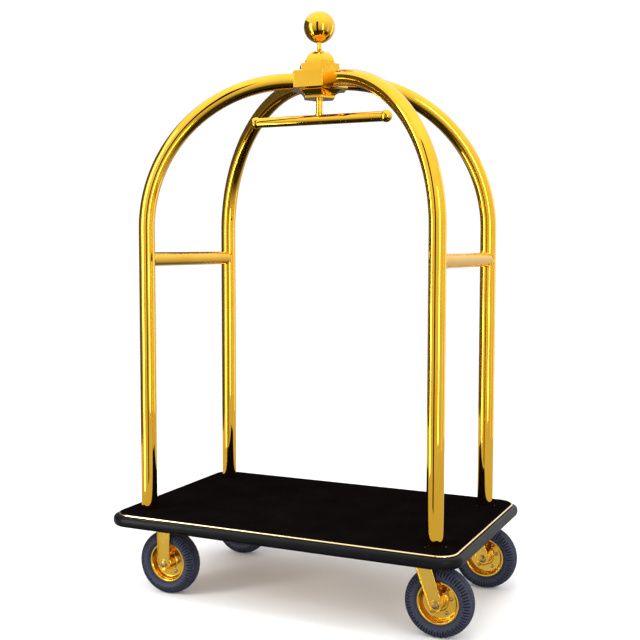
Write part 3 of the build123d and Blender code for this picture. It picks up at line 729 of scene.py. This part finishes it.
@dataclass(frozen=True)
class HangingRail:
    """The stem under the crown, the level rail and its two end balls."""

    ring_out: float = 2.2
    washer_out: float = 1.8

    def build(self) -> None:
        """Build the stem with its foot ring, the rail and the balls."""
        low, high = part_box("hanger_stem")
        stem, rail = middle("hanger_stem"), middle("hanger_rail")
        radius = (high.x - low.x) / 2 / MM
        rail_low, rail_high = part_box("hanger_rail")
        rail_r = (rail_high.z - rail_low.z) / 2 / MM
        foot, hub_z = rail.z / MM + rail_r * 0.72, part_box("crown_hub")[0].z / MM
        ring, washer = radius + self.ring_out, radius + self.washer_out
        profile = rounded([
            (0, foot, 0), (ring, foot, 0), (ring, foot + 7.5, 1.2), (radius, foot + 9.0, 0.8),
            (radius, hub_z - 4.0, 0.8), (washer, hub_z - 3.0, 0.8), (washer, hub_z, 0), (0, hub_z, 0),
        ])
        shape = turned(profile, (stem.x, stem.y, 0), Turn.Z)
        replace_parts(make_piece("stem", [shape], "cart", GOLD), "hanger_stem")
        half = (rail_high.x - rail_low.x) / 2 / MM
        bar = rounded([(0, -half, 0), (rail_r, -half, 0.5), (rail_r, half, 0.5), (0, half, 0)])
        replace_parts(make_piece("rail", [turned(bar, rail, Turn.X)], "cart", GOLD), "hanger_rail")
        low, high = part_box("rail_end_balls")
        ball_r = (high.z - low.z) / 2
        swing = np.linspace(-math.pi / 2, math.pi / 2, 41)
        ball = ball_r * np.stack([np.cos(swing), np.sin(swing)], -1)
        ball[[0, -1], 0] = 0
        ends = [(low.x + ball_r, rail.y, rail.z), (high.x - ball_r, rail.y, rail.z)]
        grids = [turned(ball, end, Turn.X) for end in ends]
        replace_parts(make_piece("end_balls", grids, "cart", GOLD), "rail_end_balls")


# ------------------------------------------------------------------ deck
@dataclass(frozen=True)
class Deck:
    """The deck's edge: the brass bead and the rubber bumper."""

    corner_r: float = 55 * MM
    trim_w: float = 6 * MM
    bumper_out: float = 16.0
    lip_out: float = 4.6
    bulge_power: float = 2.6

    def edge(self) -> tuple[Array, Array]:
        """The deck's outline at height 0, with its normals."""
        low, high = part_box("edge_trim")
        left, right = low.x + self.corner_r, high.x - self.corner_r
        front, back = low.y + self.corner_r, high.y - self.corner_r
        spots = [(left, front), (right, front), (right, back), (left, back)]
        path, normal = hull([(x, y, self.corner_r) for x, y in spots], 24)
        return lift(path, (0, 1)), lift(normal, (0, 1))

    def build(self) -> None:
        """Build the bead and the bumper.

        The bumper's outer face bulges by the square root of 1 - |t|^p, with t from its foot to
        its top. A shallow rebate keeps its top clear of the bead.
        """
        path, normal = self.edge()
        low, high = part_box("edge_trim")
        radius, middle_z = self.trim_w / 2, (low.z + high.z) / 2
        angle = np.linspace(0, 2 * math.pi, 24, endpoint=False)
        bead = np.stack([radius * np.cos(angle) - radius, radius * np.sin(angle) + middle_z], -1)
        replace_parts(make_piece("edge_bead", [carried(bead, path, normal, UP)], "cart", TRIM), "edge_trim")

        low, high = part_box("bumper")
        foot, top = low.z / MM, high.z / MM
        bulge = np.linspace(-0.92, 0.92, 23)
        swell = np.sqrt(1 - np.abs(bulge) ** self.bulge_power)
        face_z = (foot + top) / 2 + 0.6 + bulge * (top - foot) / 2 * 0.98
        face = np.stack([self.lip_out + (self.bumper_out - self.lip_out) * swell, face_z], -1)
        lip = [(4.5, top, 1.2), (1.8, top, 0.5), (1.2, top - 1.6, 0.4), (-6, top - 2, 0)]
        profile = np.concatenate([
            rounded([(-6, top - 2, 0), (-6, foot, 0.5), (3.5, foot, 1.5), (*face[0], 0)])[:-1],
            face * MM,
            rounded([(*face[-1], 0), *lip])[1:-1],
        ])
        strip = carried(profile, path, normal, UP)
        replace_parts(make_piece("bumper_strip", [strip], "cart", BUMPER), "bumper")


# ------------------------------------------------------------------ wheels
@dataclass(frozen=True)
class Wheel:
    """A pneumatic tyre on a two-piece pressed rim, with its hub, bearings and rim bolts."""

    rim_r: float = 57.1 * MM
    bead_half: float = 17.4 * MM
    lip_r: float = 64 * MM
    fullness: float = 2.3
    tread_steps: int = 52
    around: int = 576
    groove: float = 3.2 * MM
    groove_half: float = 0.9 * MM
    grooves_at: tuple[float, float] = (4.5 * MM, 12.5 * MM)
    wander: float = 3.2 * MM
    slots: int = 64
    slot_share: float = 0.17
    slot_middle: float = 34 * MM
    slot_half: float = 12.5 * MM
    short_slot: float = 0.72
    ridges_at: tuple[float, float] = (46 * MM, 54 * MM)
    ridge_h: float = 0.45 * MM
    ridge_half: float = 0.9 * MM
    bolts: int = 5
    first_bolt: float = math.radians(18)
    bolt_circle: float = 38 * MM
    valve_circle: float = 45 * MM
    valve_place: float = 1.5

    def section(self, radius: float, half_w: float) -> tuple[Array, Array]:
        """Half of the tyre's section in even steps, crown first.

        Above its widest point it is a superellipse, |y/w|^p + |(r - c)/h|^p = 1, where c is
        halfway from the lip to the tread. Below, it is a quarter ellipse down to the bead.
        """
        widest = (self.lip_r + radius) / 2
        rise, power = radius - widest, 2 / self.fullness
        a = np.linspace(math.pi / 2, 0, 400)
        crown = np.stack([widest + rise * np.sin(a) ** power, half_w * np.cos(a) ** power], -1)
        b = np.linspace(0, math.pi / 2, 200)[1:]
        wall_y = self.bead_half + (half_w - self.bead_half) * np.cos(b)
        line = np.concatenate([crown, np.stack([widest - rise * np.sin(b), wall_y], -1)])
        length = np.concatenate([[0], np.cumsum(np.linalg.norm(np.diff(line, axis=0), axis=1))])
        steps = np.linspace(0, length[-1], self.tread_steps)
        even = np.stack([np.interp(steps, length, line[:, k]) for k in (0, 1)], -1)
        return even, steps

    def tread(self, s: Array, angle: Array) -> Array:
        """How deep the tread is cut at distance s from the crown, as a share of a full groove.

        Two pairs of grooves wander as a triangle wave of the angle, and beyond them slots run
        down the shoulder, long and short by turns, each open for part of its share of the turn.
        """
        slot = angle * self.slots / (2 * math.pi)
        wander = self.wander * (np.abs(np.mod(slot, 1) * 2 - 1) - 0.5)

        def band(x: Array, half: float, soft: float) -> Array:
            """1 within half of 0, falling to 0 over twice soft."""
            t = np.clip((half + soft - np.abs(x)) / (2 * soft), 0, 1)
            return t * t * (3 - 2 * t)

        grooves = sum(band(np.abs(s) - at - wander, self.groove_half, 0.5 * MM) for at in self.grooves_at)
        length = self.slot_half * np.where(np.mod(np.floor(slot), 2) == 0, 1.0, self.short_slot)
        reach = band(np.abs(s) - self.slot_middle, length, 1.4 * MM)
        return np.clip(grooves + band(np.mod(slot, 1) - 0.5, self.slot_share, 0.08) * reach, 0, 1)

    def tyre(self, corner: str) -> None:
        """The tyre: its section carried round the axle, cut inwards by the tread's depth.

        Two low ridges run round each wall, where they stay inside the tyre's full width.
        """
        node, body = f"tyre_{corner}", f"wheel_{corner}"
        low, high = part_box(node)
        centre, radius, half_w = middle(node), (high.x - low.x) / 2, (high.y - low.y) / 2
        half, s = self.section(radius, half_w)
        line = np.concatenate([half[::-1] * (1, -1), half[1:]])
        along = np.concatenate([-s[::-1], s[1:]])
        off = (np.abs(along)[:, None] - self.ridges_at) / self.ridge_half
        ridge = self.ridge_h * np.exp(-(off**2)).sum(1)
        tangent = np.gradient(line, axis=0)
        normal = np.stack([tangent[:, 1], -tangent[:, 0]], -1)
        normal /= np.linalg.norm(normal, axis=1)[:, None]
        angle = np.linspace(0, 2 * math.pi, self.around, endpoint=False)
        cut = self.tread(along[:, None], angle[None, :])
        inset = self.groove * cut - ridge[:, None] * (np.abs(line[:, 1]) < half_w - 0.5 * MM)[:, None]
        r = line[:, :1] - inset * normal[:, :1]
        y = np.broadcast_to(line[:, 1:] - inset * normal[:, 1:], r.shape)
        seat = np.array([[self.rim_r, half[-1, 1]], [self.rim_r, -half[-1, 1]]])
        r = np.concatenate([r, np.broadcast_to(seat[:, :1], (2, self.around))])
        y = np.concatenate([y, np.broadcast_to(seat[:, 1:], (2, self.around))])
        points = np.stack([r * np.cos(angle), y, r * np.sin(angle)], -1) + np.array(centre)
        # The cut's depth is the mask for painted shade in the grooves and slots; the hidden seat rows get it
        # fully.
        relief = np.concatenate([cut, np.ones((2, self.around))])
        tyre = make_piece(f"treaded_{node}", [Grid(points, join_rows=True, relief=relief)], body, TYRE)
        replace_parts(tyre, node)

    def rim(self, corner: str, half: str, side: int) -> None:
        """One pressed half of the rim: flat disc, drum and rolled lip, and a boss if it is the outer half."""
        node = f"rim_{half}_{corner}"
        boss = [(20.1, 4.2, 0.8), (25.6, 4.2, 1.5), (27.8, 2.0, 1.5)] if side < 0 else [(20.1, 2.0, 0.5)]
        drum = [(50.2, 2.0, 3.2), (54.9, 9.5, 4.0), (55.1, 16.6, 2.0)]
        lip = [(58.6, 20.4, 2.6), (63.9, 20.4, 1.6), (64.9, 17.9, 1.0)]
        back = [(57.0, 17.5, 1.0), (57.0, 0.05, 0)]
        profile = rounded([(20.1, 0.05, 0), *boss, *drum, *lip, *back], closed=True) * (1, side)
        shape = turned(profile, middle(f"tyre_{corner}"), Turn.Y, 96)
        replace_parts(make_piece(f"pressed_{node}", [shape], f"wheel_{corner}", PRESSED_GOLD), node)

    def hub(self, corner: str) -> None:
        """The hub's sleeve with the flange that the rim bolts to, and its two bearings.

        Each bearing is an inner ring, a seal set a little deeper, and an outer ring.
        """
        centre, body = middle(f"tyre_{corner}"), f"wheel_{corner}"
        flange = [(20.0, 2.1, 0), (46.0, 2.1, 0.6), (46.0, 5.0, 0.6), (20.0, 5.0, 1.5)]
        profile = rounded([
            (16.0, -29, 0), (18.6, -29, 0.8), (20.0, -27.5, 0.8), *flange,
            (20.0, 27.5, 0.8), (18.6, 29, 0.8), (16.0, 29, 0),
        ], closed=True)
        sleeve = turned(profile, centre, Turn.Y)
        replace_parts(make_piece(f"hub_sleeve_{corner}", [sleeve], body, PRESSED_GOLD), f"hub_{corner}")
        rings = []
        for side in (-1, 1):
            for inner, outer, face in ((6.1, 8.6, 28.9), (8.6, 13.4, 27.9), (13.4, 15.9, 28.9)):
                ring = [(inner, 19.2, 0), (outer, 19.2, 0), (outer, face, 0.4), (inner, face, 0.4)]
                rings.append(turned(rounded(ring, closed=True) * (1, side), centre, Turn.Y))
        make_piece(f"bearings_{corner}", rings, body, ZINC)

    def disc_place(self, corner: str, radius: float, number: float) -> Array:
        """A place in the wheel's disc: at the first rim bolt for number 0, the next for 1, and so on."""
        angle = self.first_bolt + number * 2 * math.pi / self.bolts
        return np.array(middle(f"tyre_{corner}")) + radius * np.array([-math.cos(angle), 0, math.sin(angle)])

    def rim_bolts(self, corner: str) -> None:
        """Five bolts through the rim halves, with washers under their heads and nuts."""
        node, grids = f"rim_bolts_{corner}", []
        for number in range(self.bolts):
            spot = self.disc_place(corner, self.bolt_circle, number)
            for side in (-1, 1):
                foot = (2.1 if side < 0 else 5.1) * side * MM
                ring = rounded([(3.1, 0, 0), (6.2, 0, 0), (6.2, 0.9, 0.3), (3.1, 0.9, 0)], closed=True)
                grids.append(turned(ring * (1, side) + (0, foot), spot, Turn.Y, 24))
                start = foot + 0.9 * MM * side
                grids.append(hexagon(spot, Turn.Y, 9.0 * MM, start, start + 3.4 * MM * side))
            stud = rounded([(0, -2.5, 0), (2.9, -2.5, 0), (2.9, 11.0, 0.5), (0, 11.0, 0)])
            grids.append(turned(stud, spot, Turn.Y, 20))
        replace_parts(make_piece(f"bolts_{corner}", grids, f"wheel_{corner}", ZINC), node)

    def valve(self, corner: str) -> None:
        """The tyre's valve and its cap, halfway between two rim bolts."""
        cap = [(0, -22, 0), (3.2, -22, 0.8), (3.2, -16, 0.3)]
        stem = [(2.4, -16, 0), (2.4, -4, 0.8), (4.2, -1.5, 0), (0, -1.5, 0)]
        spot = self.disc_place(corner, self.valve_circle, self.valve_place)
        shape = turned(rounded([*cap, *stem]), spot, Turn.Y, 24)
        make_piece(f"valve_{corner}", [shape], f"wheel_{corner}", ZINC)

    def build(self, corner: str) -> None:
        """Build one wheel."""
        self.tyre(corner)
        self.rim(corner, "outer", -1)
        self.rim(corner, "inner", 1)
        self.hub(corner)
        self.rim_bolts(corner)
        self.valve(corner)


# ------------------------------------------------------------------ casters
@dataclass(frozen=True)
class Caster:
    """A fork of pressed legs under its plate, and the axle bolt that carries the wheel."""

    gap_half: float = 35.0
    sheet: float = 3.5
    flange_w: float = 3.0
    flange_h: float = 4.0
    end_r: float = 21 * MM
    top_half: float = 25 * MM
    top_corner: float = 2 * MM
    plate_size: tuple[float, float] = (105 * MM, 85 * MM)
    plate_corner: float = 8 * MM
    plate_t: float = 4.0
    axle_bore: float = 6.1
    collar_r: float = 10.8

    def leg(self, centre: Vector, top_x: float, top_z: float, side: int) -> list[Grid]:
        """A leg with a turned-out edge, and the raised boss round its axle.

        Its outline is stretched round a circle about the axle and two small corners at the top.
        Its section runs in to a spine, the line from the axle to the middle of the top, which
        each point meets at its own height, or at the axle for the round end.
        """
        small = self.top_corner
        spots = [
            (centre.x, centre.z, self.end_r),
            (top_x + self.top_half - small, top_z - small, small),
            (top_x - self.top_half + small, top_z - small, small),
        ]
        path, normal = hull(spots, 16)
        spine_h = top_z - 8 * MM - centre.z
        rise = np.clip((path[:, 1] - centre.z) / spine_h, 0, 1)
        spine = np.stack([centre.x + (top_x - centre.x) * rise, centre.z + spine_h * rise], -1)
        web, rim, edge = self.sheet, self.sheet + self.flange_h, self.flange_w
        inset = -edge - 6
        profile = rounded([
            (inset, web, 0), (-edge, web, 1.4), (-edge, rim, 1.2), (0, rim, 1.3), (0, 0, 0.8), (inset, 0, 0),
        ])
        base = np.array([0, centre.y + side * self.gap_half * MM, 0])
        path, normal, spine = lift(path, (0, 2)) + base, lift(normal, (0, 2)), lift(spine, (0, 2)) + base
        foot = centre.y + side * (self.gap_half + web) * MM
        dish = [(13.6, 0.9, 0.8), (11.8, 0.9, 0.8), (11.0, 0.3, 0.5), (0, 0.3, 0)]
        boss = rounded([(0, -0.5, 0), (14.2, -0.5, 0), *dish]) * (1, side)
        return [
            plate(profile, path, normal, spine, np.array([0, float(side), 0])),
            turned(boss, (centre.x, foot, centre.z), Turn.Y, 48),
        ]

    def axle(self, corner: str, body: str) -> None:
        """The axle bolt: chamfered head, washer, shank, spacers, and a nut on the inner side."""
        node = f"axle_{corner}"
        centre = np.array(middle(f"tyre_{corner}"))
        face, bore, outer = (self.gap_half + self.sheet + 0.3) * MM, self.axle_bore, self.collar_r
        ring = rounded([(bore, 0, 0), (outer, 0, 0), (outer, 1.2, 0.4), (bore, 1.2, 0)], closed=True)
        foot, end = 29.5, self.gap_half - 0.1
        spacer = rounded([(bore, foot, 0), (outer, foot, 0.3), (outer, end, 0), (bore, end, 0)], closed=True)
        grids = []
        for side, height in ((-1, 6.0), (1, 9.0)):
            grids.append(turned(ring * (1, side) + (0, side * face), centre, Turn.Y, 40))
            start = side * (face + 1.2 * MM)
            grids.append(hexagon(centre, Turn.Y, 17 * MM, start, start + side * height * MM))
            grids.append(turned(spacer * (1, side), centre, Turn.Y, 40))
        shank = rounded([(0, -39, 0), (5.9, -39, 0), (5.9, 50.2, 1.0), (0, 50.2, 0)])
        grids.append(turned(shank, centre, Turn.Y, 32))
        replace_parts(make_piece(f"axle_bolt_{corner}", grids, body, ZINC), node)

    def mounting(self, x: float, y: float, top: float) -> Grid:
        """A flat plate with rounded corners and softened edges, its upper face at height top."""
        corner, t = self.plate_corner, self.plate_t
        half_l, half_w = self.plate_size[0] / 2 - corner, self.plate_size[1] / 2 - corner
        sides = ((-1, -1), (1, -1), (1, 1), (-1, 1))
        path, normal = hull([(x + sx * half_l, y + sy * half_w, corner) for sx, sy in sides])
        profile = rounded([(-2, t, 0), (0, t, 0.6), (0, 0, 0.6), (-2, 0, 0)])
        foot = np.array([0, 0, top - t * MM])
        return plate(profile, lift(path, (0, 1)) + foot, lift(normal, (0, 1)), foot + (x, y, 0), UP)

    def rigid(self, place: str) -> None:
        """A rigid caster's fork: two upright legs under a bolted plate."""
        node, corner = f"rigid_fork_{place}", f"{place}_left"
        _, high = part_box(node)
        centre = middle(f"tyre_{corner}")
        grids = [self.mounting(centre.x, centre.y, high.z)]
        for side in (-1, 1):
            grids += self.leg(centre, centre.x, high.z - (self.plate_t - 0.1) * MM, side)
        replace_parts(make_piece(f"fork_{corner}", grids, "cart", PRESSED_GOLD), node)
        self.axle(corner, "cart")

    def swivel(self, place: str) -> None:
        """A swivel caster's fork: raked legs under a round ball-race plate."""
        node, corner, body = f"swivel_fork_{place}", f"{place}_right", f"swivel_{place}"
        _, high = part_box(node)
        pivot, centre = middle(f"swivel_balls_{place}"), middle(f"tyre_{corner}")
        top = high.z / MM
        foot = top - 4.7
        rim = [(40.5, foot, 1.5), (42.0, foot + 2.4, 1.5), (41.0, top, 1.0)]
        disc = rounded([(7.1, foot, 0), *rim, (7.1, top, 0.4)], closed=True)
        grids = [turned(disc, (pivot.x, pivot.y, 0), Turn.Z, 80)]
        for side in (-1, 1):
            grids += self.leg(centre, pivot.x, high.z - 0.6 * MM, side)
        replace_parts(make_piece(f"fork_{corner}", grids, body, PRESSED_GOLD), node)
        self.axle(corner, body)

    def build(self) -> None:
        """Build the four forks and their axles."""
        for place in ("front", "back"):
            self.rigid(place)
            self.swivel(place)


# ------------------------------------------------------------------ studio
@dataclass(frozen=True)
class Studio:
    """A white sweep, soft boxes, and dark screens that give the polished metal its streaks."""

    floor_size: float = 80.0
    white: float = 0.96
    surround: float = 1.05
    mirrored_sky: tuple[float, float, float, float] = (0.38, 1.55, -0.6, 0.9)
    under_dark: tuple[float, float, float, float] = (0.10, 1.0, -0.62, -0.40)

    def sheet(self, name: str, corners: Sequence[Sequence[float]], graph: Graph) -> bpy.types.Object:
        """A flat, matt sheet of stage set."""
        mesh = bpy.data.meshes.new(name)
        mesh.from_pydata([tuple(c) for c in corners], [], [(0, 1, 2, 3)])
        mesh.materials.append(graph.material)
        made = bpy.data.objects.new(name, mesh)
        bpy.context.scene.collection.objects.link(made)
        return made

    def floor(self) -> None:
        """A wide pale floor that polished metal doesn't mirror. From below it is clear."""
        half, tone = self.floor_size / 2, (self.white,) * 3
        graph = Graph("floor_paper")
        grain = graph.noise(graph.place(), 40.0, 3)
        graph.feed("Base Color", graph.mixed(grain, tone, tuple(0.985 * c for c in tone)))
        graph.feed("Roughness", 0.9)
        graph.feed("Specular IOR Level", 0.1)
        facing = graph.node("ShaderNodeNewGeometry").outputs["Backfacing"]
        graph.feed("Alpha", graph.maths("SUBTRACT", 1.0, facing))
        corners = [(-half, -half, 0), (half, -half, 0), (half, half, 0), (-half, half, 0)]
        floor = self.sheet("floor", corners, graph)
        floor.visible_glossy = False

    def box_light(
        self, name: str, at: Sequence[float], size: tuple[float, float], power: float, mirrored: bool,
        aim: Sequence[float] = (0, 0, 0.9),
    ) -> None:
        """A soft box: a rectangular light aimed at a point. No view shows it, but metal may mirror it."""
        light = bpy.data.lights.new(name, "AREA")
        light.shape, light.size, light.size_y, light.energy = "RECTANGLE", size[0], size[1], power
        lamp = bpy.data.objects.new(name, light)
        lamp.location = at
        lamp.rotation_mode = "QUATERNION"
        lamp.rotation_quaternion = (Vector(aim) - Vector(at)).to_track_quat("-Z", "Y")
        lamp.visible_camera, lamp.visible_glossy = False, mirrored
        bpy.context.scene.collection.objects.link(lamp)

    def screen(self, name: str, at: tuple[float, float], width: float, high: float, tone: float) -> None:
        """An upright dark screen at a spot on the floor, facing the cart. Reflections alone show it."""
        spot = np.array([at[0], at[1], 0.0])
        across = np.array([-at[1], at[0], 0.0]) / math.hypot(*at) * width / 2
        graph = Graph(name)
        graph.feed("Base Color", (tone, tone, tone, 1))
        graph.feed("Roughness", 1.0)
        graph.feed("Specular IOR Level", 0.0)
        corners = [spot + s * across + (0, 0, z) for s, z in ((-1, 0), (1, 0), (1, high), (-1, high))]
        card = self.sheet(name, corners, graph)
        card.visible_camera = card.visible_shadow = card.visible_diffuse = False

    def surroundings(self) -> None:
        """White all round for plain light. Metal mirrors a sky that fades downwards and is dark below."""
        scene = bpy.context.scene
        scene.view_settings.view_transform = "Standard"
        scene.world = bpy.data.worlds.new("white_studio")
        scene.world.use_nodes = True
        world = Tree(scene.world.node_tree)
        way = world.node("ShaderNodeTexCoord").outputs["Generated"]
        height = world.node("ShaderNodeSeparateXYZ", in_Vector=way).outputs["Z"]
        glossy = world.node("ShaderNodeLightPath").outputs["Is Glossy Ray"]
        sky, under = world.spread(height, *self.mirrored_sky), world.spread(height, *self.under_dark)
        strength = world.spread(glossy, self.surround, world.maths("MULTIPLY", sky, under), 0, 1)
        back = world.tree.nodes["Background"]
        back.inputs["Color"].default_value = (1, 1, 1, 1)
        world.tree.links.new(strength, back.inputs["Strength"])

    def build(self) -> None:
        """Set the white surroundings, the lights and the screens."""
        self.surroundings()
        self.floor()
        self.box_light("key_box", (-2.3, -3.3, 2.0), (1.0, 2.6), 45, False)
        self.box_light("side_box", (3.4, -1.2, 1.7), (1.0, 2.8), 34, False)
        self.box_light("top_box", (0.3, -0.9, 4.0), (2.2, 1.2), 60, False, aim=(0, -0.2, 0.5))
        self.box_light("strip_box", (-0.95, -1.05, 1.15), (0.2, 2.1), 14, True, aim=(0.1, 0.1, 1.0))
        self.box_light("far_strip", (2.6, -2.2, 1.3), (0.3, 2.6), 22, True, aim=(0, 0, 1.0))
        self.box_light("back_strip", (2.3, 2.8, 1.3), (0.5, 2.8), 8, True, aim=(0, 0, 1.0))
        self.screen("front_screen", (0.25, -1.72), 0.42, 2.8, 0.004)
        self.screen("left_screen", (-3.0, 0.2), 4.0, 3.4, 0.07)
        self.screen("back_left_screen", (-1.8, 2.9), 2.4, 3.4, 0.09)
        self.screen("right_screen", (3.2, 0.3), 0.7, 3.2, 0.66)


@dataclass(frozen=True)
class View:
    """The camera: where it stands, which way it looks and its lens."""

    at: tuple[float, float, float] = (1.4017, -3.0462, 1.1232)
    yaw: float = -24.777
    pitch: float = -4.040
    roll: float = 0.073
    lens: float = 58.284
    sensor: float = 36.0

    def build(self) -> None:
        """Make the camera and give it to the scene.

        Its forward direction is (sin yaw cos pitch, cos yaw cos pitch, sin pitch), its right
        hand (cos yaw, -sin yaw, 0), and both its right hand and its up are rolled about it.
        """
        yaw, pitch, roll = (math.radians(a) for a in (self.yaw, self.pitch, self.roll))
        level = math.cos(pitch)
        ahead = Vector((math.sin(yaw) * level, math.cos(yaw) * level, math.sin(pitch)))
        right = Vector((math.cos(yaw), -math.sin(yaw), 0))
        up = right.cross(ahead)
        right, up = math.cos(roll) * right + math.sin(roll) * up, math.cos(roll) * up - math.sin(roll) * right
        data = bpy.data.cameras.new("view")
        data.lens, data.sensor_width = self.lens, self.sensor
        data.clip_start, data.clip_end = 0.05, 100
        camera = bpy.data.objects.new("view", data)
        turn = Matrix((right, up, -ahead)).transposed()
        camera.matrix_world = Matrix.Translation(self.at) @ turn.to_4x4()
        bpy.context.scene.collection.objects.link(camera)
        bpy.context.scene.camera = camera


def dress_cad_nodes() -> None:
    """Give each CAD node that stays in view the finish of its own material slot."""
    slots = {part["node"]: part["material_slot"] for part in frame["record"]["subparts"]}
    for name, node in frame["nodes"].items():
        node.data.materials.clear()
        node.data.materials.append(FINISHES[slots[name]].material())


def main() -> None:
    """Build every part of the cart, then the studio and the camera round it."""
    logging.basicConfig(level=logging.INFO, format="%(message)s")
    dress_cad_nodes()
    Birdcage().build()
    Crown().build()
    HangingRail().build()
    Deck().build()
    Caster().build()
    for corner in CORNERS:
        Wheel().build(corner)
    Studio().build()
    View().build()


if __name__ == "__main__":
    main()
